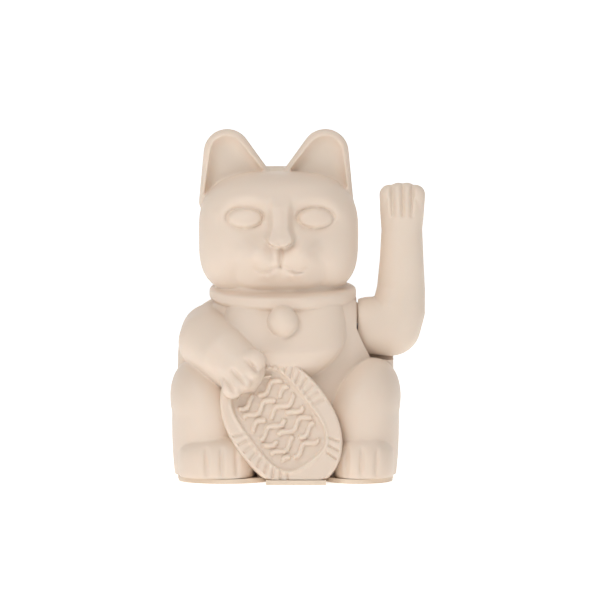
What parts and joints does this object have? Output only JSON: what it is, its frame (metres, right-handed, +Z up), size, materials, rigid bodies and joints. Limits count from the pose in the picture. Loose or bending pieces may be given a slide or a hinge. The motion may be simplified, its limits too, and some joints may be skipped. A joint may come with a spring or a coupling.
{
  "type": "beckoning cat figurine",
  "caption": "Seated beckoning cat in moulded plastic: one paw holds an oval tablet, the other arm swings on a battery-driven pendulum inside the hollow body.",
  "frame": {"origin": "underside of the base plate, below the arm's pivot line, in the plane where the front and rear shells meet", "axes": "+Z up, -Y towards the cat's front, +X towards the side of the moving arm"},
  "size_m": [0.1083, 0.082, 0.15],
  "materials": {
    "shell_plastic": "matte",
    "base_plastic": "matte",
    "white_plastic": "satin",
    "black_plastic": "satin",
    "cell_sleeve": "gloss",
    "steel": "satin",
    "magnet_steel": "polished",
    "board": "satin",
    "copper": "gloss",
    "capacitor_sleeve": "gloss",
    "resistor_coat": "satin",
    "red_insulation": "satin",
    "black_insulation": "satin",
    "white_insulation": "satin"
  },
  "bodies": {
    "body": {"front_shell": "shell_plastic", "rear_shell": "shell_plastic", "base_plate": "base_plastic", "base_screws": "steel", "battery_cell": "cell_sleeve", "spring_contact": "steel", "plate_contact": "steel", "circuit_board": "board", "board_screws": "steel", "coil_bobbin": "white_plastic", "coil_winding": "copper", "transistor": "black_plastic", "capacitor": "capacitor_sleeve", "resistors": "resistor_coat", "switch_body": "black_plastic", "lead_red": "red_insulation", "lead_black": "black_insulation", "lead_white": "white_insulation", "pendulum_frame": "white_plastic", "frame_screws": "steel"},
    "pendulum": {"pivot_shaft": "steel", "shaft_clips": "steel", "pendulum_lever": "white_plastic", "drive_magnet": "magnet_steel", "arm_socket": "white_plastic", "arm_front_shell": "shell_plastic", "arm_rear_shell": "shell_plastic"},
    "door": {"battery_door": "base_plastic"},
    "slider": {"switch_slider": "black_plastic"}
  },
  "joints": [
    {"name": "wave", "type": "hinge", "parent": "body", "child": "pendulum", "pos_m": [0, 0, 0.0645], "axis": [1, 0, 0], "range_deg": [-18, 18]},
    {"name": "battery_door_hinge", "type": "hinge", "parent": "body", "child": "door", "pos_m": [0.0261, 0.017, 0.001], "axis": [0, -1, 0], "range_deg": [0, 75]},
    {"name": "power_switch", "type": "slide", "parent": "body", "child": "slider", "axis": [0, 1, 0], "range_m": [0, 0.0025]}
  ]
}
